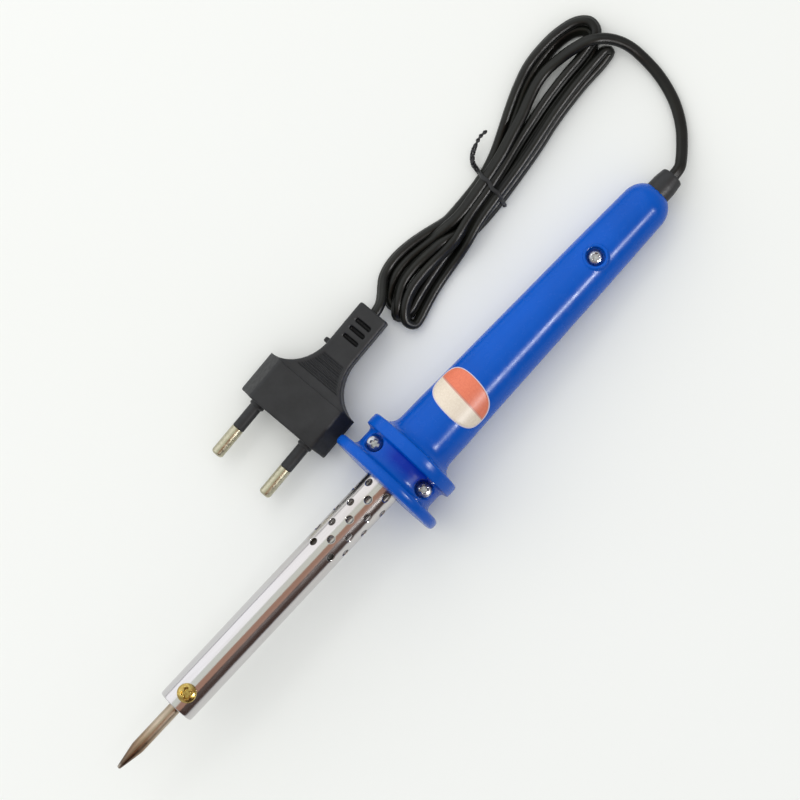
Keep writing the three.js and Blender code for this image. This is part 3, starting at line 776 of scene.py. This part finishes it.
# ------------------------------------------------------------------ plug
# Half its width, half its width on top, its thickness; where the block and the flare end, its whole
# length, half the neck's width, how far a pin is from the middle, and the slots across the neck.
HALF_W, TOP_W, THICK = 16.55, 12.2, 14.0
BLOCK, FLARE, LENGTH, NECK = 14.3, 28.0, 43.7, 5.15
PIN_SIDE, NECK_SLOTS = 9.5, (32.7, 35.7, 38.6)
# Its mould line, and where the fan's ribs begin, where they end and how far apart they are.
MIDDLE = THICK / 2
RIBS_FROM, RIBS_TO, RIB_STEP = 17.0, 25.2, 0.74


def plug_field(x, y, z):
    fan = np.clip((x - BLOCK) / (FLARE - BLOCK), 0, 1)
    curve = 11.4 - np.sqrt(np.maximum(11.4 ** 2 - (11.4 * np.clip(1 - fan, 0, 0.995)) ** 2, 0))
    half = np.where(x < BLOCK, HALF_W, NECK + curve * (HALF_W - 0.5 - NECK) / 10.9)
    side = (np.abs(y) - half) / np.sqrt(1 + np.where((x > BLOCK) & (x < FLARE), 1.2 * (1 - fan) ** 2, 0))
    tall = np.where(x < BLOCK, MIDDLE, 6.55 - 2.55 * fan)
    off = np.abs(z - MIDDLE)
    top = off - tall
    slant = HALF_W - TOP_W
    hexed = (np.abs(y) * MIDDLE + off * slant - HALF_W * MIDDLE) / math.hypot(MIDDLE, slant)
    k = 0.7
    body = meet(meet(side, top, 1.1), meet(hexed, np.maximum(-x, x - LENGTH), k), k)
    # fine ribs across the fan, above and below
    reach = np.clip((half - 1.0 - np.abs(y)) / 0.8, 0, 1)
    ribbed = np.clip((x - RIBS_FROM) / 0.4, 0, 1) * np.clip((RIBS_TO - x) / 0.4, 0, 1) * reach
    ribbed = ribbed * np.clip((off - 2.0) / 1.0, 0, 1)
    body = body + ribbed * 0.3 * (0.5 - 0.5 * np.cos((x - RIBS_FROM) * 2 * math.pi / RIB_STEP))
    # groove behind the block, slots across the neck, a stub of flash and the mould line
    groove = np.hypot(x - (BLOCK + 0.9), (off - 6.9) * 0.9) - 0.55
    body = carve(body, groove, 0.25)
    for at in NECK_SLOTS:
        slot = slab(x, y, off, (at - 0.7, -2.8, 0.8), (at + 0.7, 2.8, 6.0), 0.6)
        body = carve(body, slot, 0.25)
    stub = slab(x, y, z, (27.3, 3.0, 5.9), (28.9, 6.75, 8.1), 0.5)
    body = join(body, stub, 0.7)
    line = 0.07 * np.exp(-((z - MIDDLE) / 0.16) ** 2)
    body = body - line
    for side_y in (PIN_SIDE, -PIN_SIDE):
        seat = np.maximum(np.hypot(y - side_y, z - MIDDLE) - 2.15, x - 1.4)
        body = carve(body, seat, 0.2)
        bore = np.maximum(np.hypot(y - side_y, z - MIDDLE) - 1.6, x - 9.3)
        body = carve(body, bore, 0.05)
    return body


def plug():
    xs = spans((-0.6, 14.0, 0.42), (14.0, 16.8, 0.25), (16.8, 24.6, 0.13), (24.6, 44.4, 0.36))
    ys = span(-17.1, 17.1, 0.4)
    zs = spans((-0.6, 5.8, 0.42), (5.8, 8.2, 0.16), (8.2, 14.6, 0.42))
    body = piece("plug_moulding", *nets(plug_field, xs, ys, zs), place=PLUG)
    crisp(body, 50)
    dress(body, "iron", "black_pvc", "plug_body")
    done = [body.name]
    pin = eased([(-20.2, 0, 0), (-20.2, 2.0, 1.3), (-9.9, 2.0, 0.12), (-9.9, 1.28, 0.05),
                 (8.8, 1.28, 0.3), (8.8, 0, 0)])
    sleeve = eased([(-9.8, 1.33, 0.05), (-9.8, 1.98, 0.22), (-1.5, 1.98, 0.1), (-1.1, 2.45, 0.2),
                    (-0.1, 2.45, 0.1), (0.0, 2.1, 0.1), (1.2, 2.1, 0.1), (1.2, 1.33, 0.05)], closed=True)
    for side, y in (("left", PIN_SIDE), ("right", -PIN_SIDE)):
        for name, profile, slot, node in (("pin", pin, "nickel_plate", f"plug_pin_{side}"),
                                          ("sleeve", sleeve, "black_pvc", f"pin_sleeve_{side}")):
            verts, faces = lathe(profile, 48)
            verts = np.array(verts) + (0, y, MIDDLE)
            part = piece(f"{name}_{side}", verts, faces, place=PLUG)
            done.append(dress(part, "iron", slot, node).name)
    return done


plug_pieces = plug()


# ------------------------------------------------------------------ handle
GRIP_X = np.linspace(128, 240, 561)
GRIP_R = np.interp(GRIP_X, [128, 134, 141.5, 146, 158, 174.7, 189, 203.3, 215.2, 224.8, 228.8, 240],
                   [10.15, 10.08, 10.0, 9.78, 9.45, 9.05, 8.68, 8.35, 7.98, 7.68, 7.53, 7.2])
_kernel = np.exp(-np.linspace(-3, 3, 61) ** 2)
GRIP_R = np.convolve(np.pad(GRIP_R, 30, mode="edge"), _kernel / _kernel.sum(), "valid")
END_X, END_R, REAR_SCREW = 228.8, 7.53, 206.9
SEATS = ((REAR_SCREW, 0.0, 3.0), (121.5, 10.0, 2.85), (121.5, -10.0, 2.85))
TILT_T = ALONG.z / ALONG.x


def outer_field(x, y, z):
    r = np.hypot(y, z)
    grip = np.maximum(r - np.interp(x, GRIP_X, GRIP_R), 122 - x)
    end = np.sqrt((x - END_X) ** 2 + r * r) - END_R
    grip = np.where(x > 228.5, end, grip)
    waist = disc(x, r, 115, 128, 14.3, 0.3)
    front = disc(x, r, 114.2, 117.6, 19.5, 1.35)
    rear = disc(x, r, 125.5, 128.9, 16.35, 0.8)
    lip = disc(x, r, 124.75, 127.5, 16.35, 0.5)
    lip = carve(lip, disc(x, r, 120, 125.45, 14.75, 0.2), 0.3)
    body = join(join(rear, lip, 0.3), grip, 4.6)
    body = join(body, waist, 1.7)
    body = join(body, front, 2.2)
    ring = np.maximum(np.hypot(x - REAR_SCREW, y) - 3.85, np.maximum(z - 8.78, 4 - z))
    return join(body, ring, 0.45)


def inner_field(x, y, z):
    r = np.hypot(y, z)
    bore = r - np.interp(x, [113, 129, 133, 142, 158, 189, 215, 219.6],
                         [6.3, 6.3, 8.0, 8.0, 7.4, 6.7, 6.0, 6.0])
    bore = np.maximum(bore, x - 219.8)
    tail = np.maximum(r - 5.5, np.abs(x - 223.8) - 2.2)
    neck = np.maximum(r - 3.3, np.abs(x - 223.0) - 5.5)
    mouth = np.maximum(r - 4.35, 228.2 - x)
    return np.minimum(np.minimum(bore, tail), np.minimum(neck, mouth))


def shell_field(x, y, z, sign):
    body = meet(outer_field(x, y, z), 0.09 - sign * z, 0.22)
    if sign < 0:
        floor = (-15.5 + (x - 115.9) * -TILT_T - z) * math.cos(math.atan(TILT_T))
        body = meet(body, floor, 0.5)
    body = carve(body, inner_field(x, y, z), 0.12)
    pillar = np.maximum(np.hypot(x - REAR_SCREW, y) - 3.0, np.maximum(np.abs(z) - 7, 0.09 - sign * z))
    body = np.minimum(body, pillar)
    for sx, sy, recess in SEATS:
        away = np.hypot(x - sx, y - sy)
        if sign > 0:
            body = carve(body, np.maximum(away - recess, 6.4 - z), 0.28)
        body = carve(body, np.maximum(away - 1.7, -6.8 - z), 0.05)
    return body


def handle():
    fine = 0.36
    xs = spans((113.6, 130.5, fine), (130.5, 200, 0.9), (200, 213, fine), (213, 227, 0.7), (227, 237.2, fine))
    wide = span(-20, 20, fine + 0.06)
    tall = span(-0.4, 20, fine + 0.06)
    for name, sign in (("top", 1), ("bottom", -1)):
        zs = tall if sign > 0 else -tall[::-1]
        shell = piece(f"shell_{name}", *nets(lambda x, y, z: shell_field(x, y, z, sign), xs, wide, zs, 4))
        crisp(shell, 55)
        dress(shell, "iron", "blue_plastic", f"handle_{name}_shell")


def screw(name, x, y, seat, head, height, shank, low, body, slot, node):
    """A pan head with a cross recess on a plain shank."""
    def field(px, py, pz):
        r = np.hypot(px, py)
        dome = np.sqrt(r * r + (pz - (height - head * 1.55)) ** 2) - head * 1.55
        cap = meet(meet(r - head, -pz, 0.12), dome, 0.35)
        shaft = np.maximum(r - shank, np.maximum(low - seat - pz, pz - 0.5))
        solid = join(cap, shaft, 0.12)
        depth = pz - height * 0.28
        arm = 0.155 * head + 0.05 * head * np.clip(pz / height, 0, 1)
        reach = 0.36 * head + 0.26 * head * np.clip(pz / height, 0, 1)
        cross = np.minimum(np.maximum(np.abs(px) - reach, np.abs(py) - arm),
                           np.maximum(np.abs(py) - reach, np.abs(px) - arm))
        hub = r - 0.27 * head
        cross = join(np.minimum(cross, hub), cross, 0.1)
        return carve(solid, np.maximum(cross, -depth), 0.08)
    h = 0.11
    side = span(-head - 0.3, head + 0.3, h)
    verts, faces = nets(field, side, side, spans((low - seat - 0.3, -0.4, 0.4), (-0.4, height + 0.4, h)))
    turn = math.radians(31 * (x + 3 * y))
    c, s = math.cos(turn), math.sin(turn)
    px, py, pz = verts.T
    verts = np.stack([px * c - py * s + x, px * s + py * c + y, pz + seat], 1)
    return dress(crisp(piece(name, verts, faces), 50), body, slot, node)


def label():
    """An oval film wrapped over the top of the grip."""
    n, rings = 72, 9
    verts = []

    def squared(v):
        return math.copysign(abs(v) ** LABEL_SQUARE, v)

    for lift in (0.03, 0.14):
        for k in range(rings + 1):
            t = k / rings
            for i in range(n):
                a = 2 * math.pi * i / n
                c, w = math.cos(a), math.sin(a)
                across = LABEL_SIDE + LABEL_ACROSS * t * squared(w)
                x = LABEL_AT + LABEL_SKEW * across + LABEL_ALONG * t * squared(c)
                r = float(np.interp(x, GRIP_X, GRIP_R)) + lift - (0.06 if lift > 0.1 and k == rings else 0)
                turn = across / r
                verts.append((x, r * math.sin(turn), r * math.cos(turn)))
    faces = []
    layer = (rings + 1) * n
    for base in (0, layer):
        for k in range(rings):
            for i in range(n):
                j = (i + 1) % n
                a, b = base + k * n, base + (k + 1) * n
                faces.append((a + i, a + j, b + j, b + i))
    for i in range(n):
        j = (i + 1) % n
        faces.append((rings * n + i, rings * n + j, layer + rings * n + j, layer + rings * n + i))
    faces = [list(dict.fromkeys(f)) for f in faces]
    dress(piece("sticker", verts, faces), "iron", "label_film", "rating_label")


handle()
for node, (sx, sy, recess) in zip(("shell_screw_rear", "shell_screw_left", "shell_screw_right"), SEATS):
    screw(node.replace("shell_", "pan_"), sx, sy, 6.45, 2.4, 1.55, 1.35, -6.2, "iron", "zinc_plate", node)
label()


# ------------------------------------------------------------------ barrel, bush, tip and its screw
def barrel():
    """A tube with staggered vents, each in its own cell of a regular skin."""
    rows, pitch, per = 10, 8.0, 8
    radius, wall, hole = 6.0, 0.5, 1.25
    last = 112.1
    edge = [(-1 + 2 * k / per, -1) for k in range(per)] + [(1, -1 + 2 * k / per) for k in range(per)]
    edge += [(1 - 2 * k / per, 1) for k in range(per)] + [(-1, 1 - 2 * k / per) for k in range(per)]
    verts, faces, index = [], [], {}

    def vert(x, a, r):
        key = (round(x, 4), round(a % (2 * math.pi), 5) % round(2 * math.pi, 5), round(r, 4))
        if key not in index:
            index[key] = len(verts)
            verts.append((x, r * math.sin(a), r * math.cos(a)))
        return index[key]

    def patch(u, w, r, flip):
        corners = [vert(u[0], w[0], r), vert(u[1], w[0], r), vert(u[1], w[1], r), vert(u[0], w[1], r)]
        faces.append(corners[::flip])

    def cell(cx, row, holed):
        a0, da = 2 * math.pi * row / rows, math.pi / rows
        if not holed:
            for r, flip in ((radius, 1), (radius - wall, -1)):
                for i in range(per):
                    for j in range(per):
                        u = [cx + (-1 + 2 * (i + p) / per) * pitch / 2 for p in (0, 1)]
                        w = [a0 + (-1 + 2 * (j + p) / per) * da for p in (0, 1)]
                        patch(u, w, r, flip)
            return
        rings = []
        steps = [(1.0, 0.0), (0.72, 0.0), (0.45, 0.0), (0.2, 0.0), (0.07, 0.0), (0.0, 0.02), (-0.045, 0.09)]
        for share, sink in steps:
            ring = []
            for u, w in edge:
                ex, ea = u * pitch / 2, w * da
                t = math.atan2(ea * radius, ex)
                hx, ha = hole * math.cos(t), hole * math.sin(t) / radius
                s = max(share, 0)
                grow = 1 if share >= 0 else 1 + share
                ring.append((cx + hx * grow * (1 - s) + ex * s, a0 + ha * grow * (1 - s) + ea * s))
            rings.append((ring, sink))
        outer = [[vert(x, a, radius - sink) for x, a in ring] for ring, sink in rings]
        inner = [[vert(x, a, radius - wall + sink) for x, a in ring] for ring, sink in rings]
        n = len(edge)
        for skin, flip in ((outer, 1), (inner, -1)):
            for p, q in zip(skin, skin[1:]):
                for i in range(n):
                    faces.append([p[i], p[(i + 1) % n], q[(i + 1) % n], q[i]][::flip])
        for i in range(n):
            faces.append([outer[-1][i], outer[-1][(i + 1) % n], inner[-1][(i + 1) % n], inner[-1][i]])

    for row in range(rows):
        even = row % 2 == 0
        first = last - (pitch / 2 if even else 0)
        for i in range(4):
            cell(first - i * pitch, row, not (even and i == 3))
        edge_x = first - 3.5 * pitch
        tail_x = first + pitch / 2
        spans_x = [(tail_x, 132.0, 8)]
        base = last - 3.5 * pitch - pitch / 2
        if edge_x > base + 1e-6:
            spans_x.append((base, edge_x, 4))
        for x0, x1, parts in spans_x:
            for r, flip in ((radius, 1), (radius - wall, -1)):
                for p in range(parts):
                    for j in range(per):
                        u = [x0 + (x1 - x0) * (p + q) / parts for q in (0, 1)]
                        w = [2 * math.pi * row / rows + (-1 + 2 * (j + q) / per) * math.pi / rows
                             for q in (0, 1)]
                        patch(u, w, r, flip)
    base = last - 4 * pitch
    lip = [(base, 6.0), (60, 6.0), (26.2, 6.0), (25.3, 5.98), (24.95, 5.92), (24.78, 5.82),
           (24.7, 5.68), (24.74, 5.56), (24.9, 5.5), (26.2, 5.5), (60, 5.5), (base, 5.5)]
    around = rows * per
    for (x0, r0), (x1, r1) in zip(lip, lip[1:]):
        for i in range(around):
            a, b = (2 * math.pi * (i + q) / around - math.pi / rows for q in (0, 1))
            faces.append([vert(x0, a, r0), vert(x1, a, r1), vert(x1, b, r1), vert(x0, b, r0)])
    for i in range(around):
        a, b = (2 * math.pi * (i + q) / around - math.pi / rows for q in (0, 1))
        faces.append([vert(132.0, a, 6.0), vert(132.0, b, 6.0), vert(132.0, b, 5.5), vert(132.0, a, 5.5)])
    tube = crisp(piece("barrel_skin", verts, faces), 50)
    dress(tube, "iron", "chrome_plate", "barrel_tube")


barrel()
bush = eased([(25.1, 2.12, 0.1), (25.1, 5.42, 0.3), (36.2, 5.42, 0.1), (36.2, 2.12, 0.1)], closed=True)
dress(crisp(piece("bush_ring", *lathe(bush, 64))), "iron", "brass_part", "tip_bush")

tip = [(0, 0), (0.02, 0.3), (0.12, 0.48), (0.4, 0.62), (3, 1.08), (6, 1.62), (7.8, 1.93),
       (8.1, 1.975), (8.6, 2.0), (12, 2.0), (20, 2.0), (40, 2.0), (71.4, 2.0), (71.9, 1.7), (72, 0)]
dress(piece("tip_rod", *lathe(tip, 64)), "tip", "tip_metal", "soldering_tip")
screw("clamp_pan", 30.4, 0, 6.05, 2.95, 1.95, 1.35, 2.3, "clamp_screw", "brass_part", "tip_screw")

grommet = eased([(222.6, 1.95, 0.1), (222.6, 4.9, 0.3), (225.7, 4.9, 0.3), (225.7, 3.0, 0.2),
                 (228.5, 3.0, 0.2), (228.5, 4.1, 0.3), (238.2, 4.0, 1.0), (242.1, 3.5, 1.1),
                 (242.1, 1.95, 0.2)], closed=True)
dress(crisp(piece("grommet", *lathe(grommet, 64))), "iron", "black_pvc", "cord_grommet")

for node, obj in frame["nodes"].items():
    if not obj.hide_render:
        obj.data.materials.clear()
        obj.data.materials.append(MAT[SLOT_OF[node]])


# ------------------------------------------------------------------ floor and light
def stage():
    scene = bpy.context.scene
    scene.view_settings.view_transform = "Standard"
    floor = bpy.data.meshes.new("floor")
    s = 4.0
    floor.from_pydata([(-s, -s, 0), (s, -s, 0), (s, s, 0), (-s, s, 0)], [], [(0, 1, 2, 3)])
    obj = bpy.data.objects.new("floor", floor)
    scene.collection.objects.link(obj)
    m = Look("floor", rough=0.9, Specular_IOR_Level=0.1)
    m.colour(m.ramp(m.noise(3, 2), (0.3, srgb(244, 245, 240)), (0.7, srgb(246, 247, 243))))
    floor.materials.append(m.mat)

    world = bpy.data.worlds.new("studio")
    world.use_nodes = True
    world.node_tree.nodes["Background"].inputs["Color"].default_value = (0.97, 0.98, 1.0, 1)
    world.node_tree.nodes["Background"].inputs["Strength"].default_value = 0.62
    scene.world = world

    def aim(obj, azimuth, at, far):
        """Hangs it over the iron, this many degrees from the zenith towards +Y, facing down at it."""
        a = math.radians(azimuth)
        obj.location = Vector((at, math.sin(a) * far, math.cos(a) * far))
        obj.rotation_euler = (-a, 0, 0)

    def light(name, azimuth, at, far, size, energy, glossy=True, diffuse=True):
        data = bpy.data.lights.new(name, "AREA")
        data.shape = "RECTANGLE"
        data.size, data.size_y = size
        data.energy = energy
        lamp = bpy.data.objects.new(name, data)
        aim(lamp, azimuth, at, far)
        lamp.visible_glossy, lamp.visible_diffuse = glossy, diffuse
        scene.collection.objects.link(lamp)

    def card(name, azimuth, at, far, size, colour):
        """A coloured board that shows only in reflections."""
        x, y = size[0] / 2, size[1] / 2
        mesh = bpy.data.meshes.new(name)
        mesh.from_pydata([(-x, -y, 0), (x, -y, 0), (x, y, 0), (-x, y, 0)], [], [(0, 1, 2, 3)])
        board = bpy.data.objects.new(name, mesh)
        scene.collection.objects.link(board)
        mat = bpy.data.materials.new(name)
        mat.use_nodes = True
        mat.node_tree.nodes.clear()
        glow = mat.node_tree.nodes.new("ShaderNodeEmission")
        glow.inputs["Color"].default_value = (*colour, 1)
        end = mat.node_tree.nodes.new("ShaderNodeOutputMaterial")
        mat.node_tree.links.new(glow.outputs[0], end.inputs["Surface"])
        mesh.materials.append(mat)
        aim(board, azimuth, at, far)
        board.visible_camera = board.visible_diffuse = board.visible_shadow = False

    light("window", 55, 0.0, 1.5, (3.4, 1.55), 13)
    light("ceiling", 10, 0.0, 2.2, (2.4, 2.4), 15.6, glossy=False)
    light("streak", -46, 0.30, 1.0, (0.26, 0.11), 9.0, diffuse=False)
    card("board_sky", 10, 0.0, 1.7, (4.0, 1.05), (0.88, 0.92, 0.84))
    card("board_brown", -21, -0.1, 1.6, (4.0, 0.9), (0.50, 0.29, 0.21))
    card("board_dark", -60, -0.1, 1.55, (4.0, 1.35), (0.075, 0.045, 0.036))


stage()
